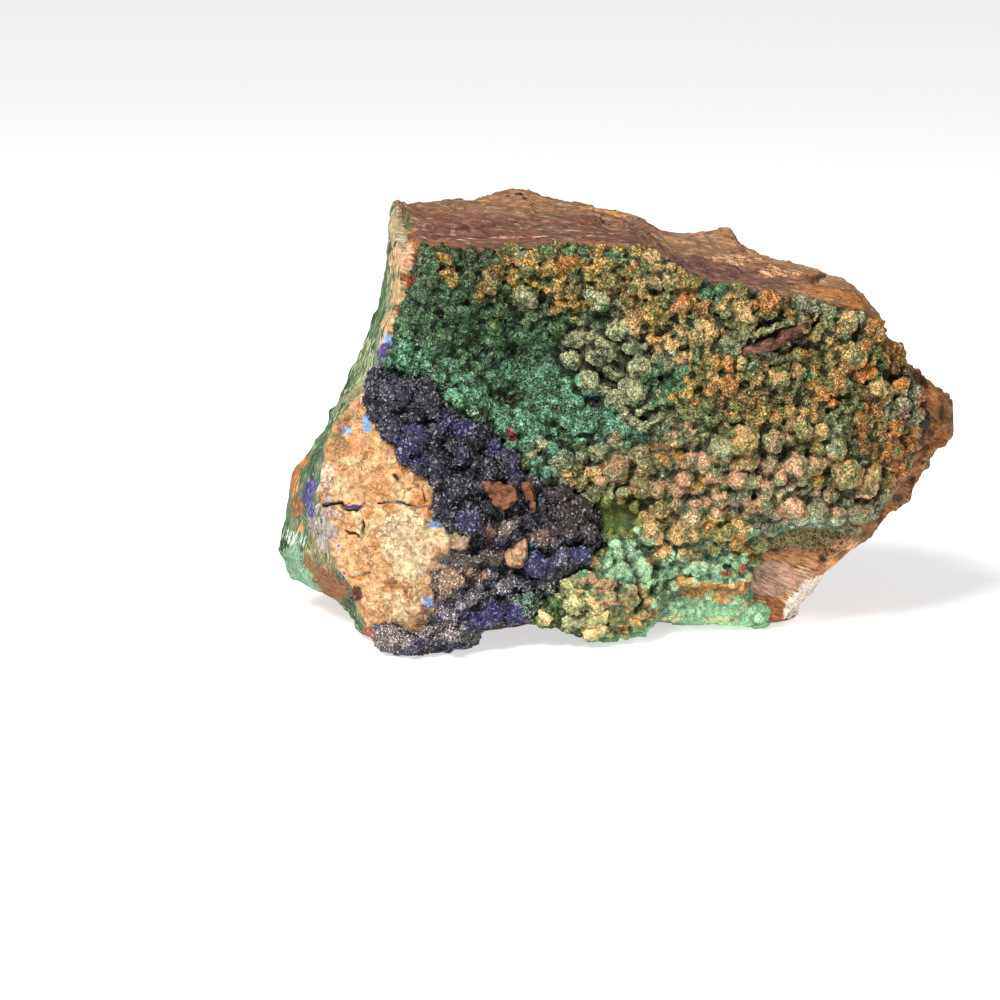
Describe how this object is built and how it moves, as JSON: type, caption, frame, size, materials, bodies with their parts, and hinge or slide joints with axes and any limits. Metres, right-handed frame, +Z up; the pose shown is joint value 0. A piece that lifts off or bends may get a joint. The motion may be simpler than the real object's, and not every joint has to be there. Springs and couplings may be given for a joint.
{
  "type": "malachite druse",
  "caption": "Broken brown rock with a hollow front lined with malachite balls, and a dark azurite druse round a bare knob.",
  "frame": {"origin": "middle of the piece, on the surface it rests on", "axes": "+X to the right of the druse face, +Y into the rock, +Z up"},
  "size_m": [0.1144, 0.0544, 0.0701],
  "materials": {
    "gossan": "dull, rough, broken, brown with ochre and peach areas",
    "malachite": "velvety green balls, dusted with ochre, grey and rose",
    "azurite": "sparkling dark blue crystals"
  },
  "bodies": {
    "root": {"matrix_rock": "gossan", "malachite_crust": "malachite", "azurite_crust": "azurite"}
  },
  "joints": []
}
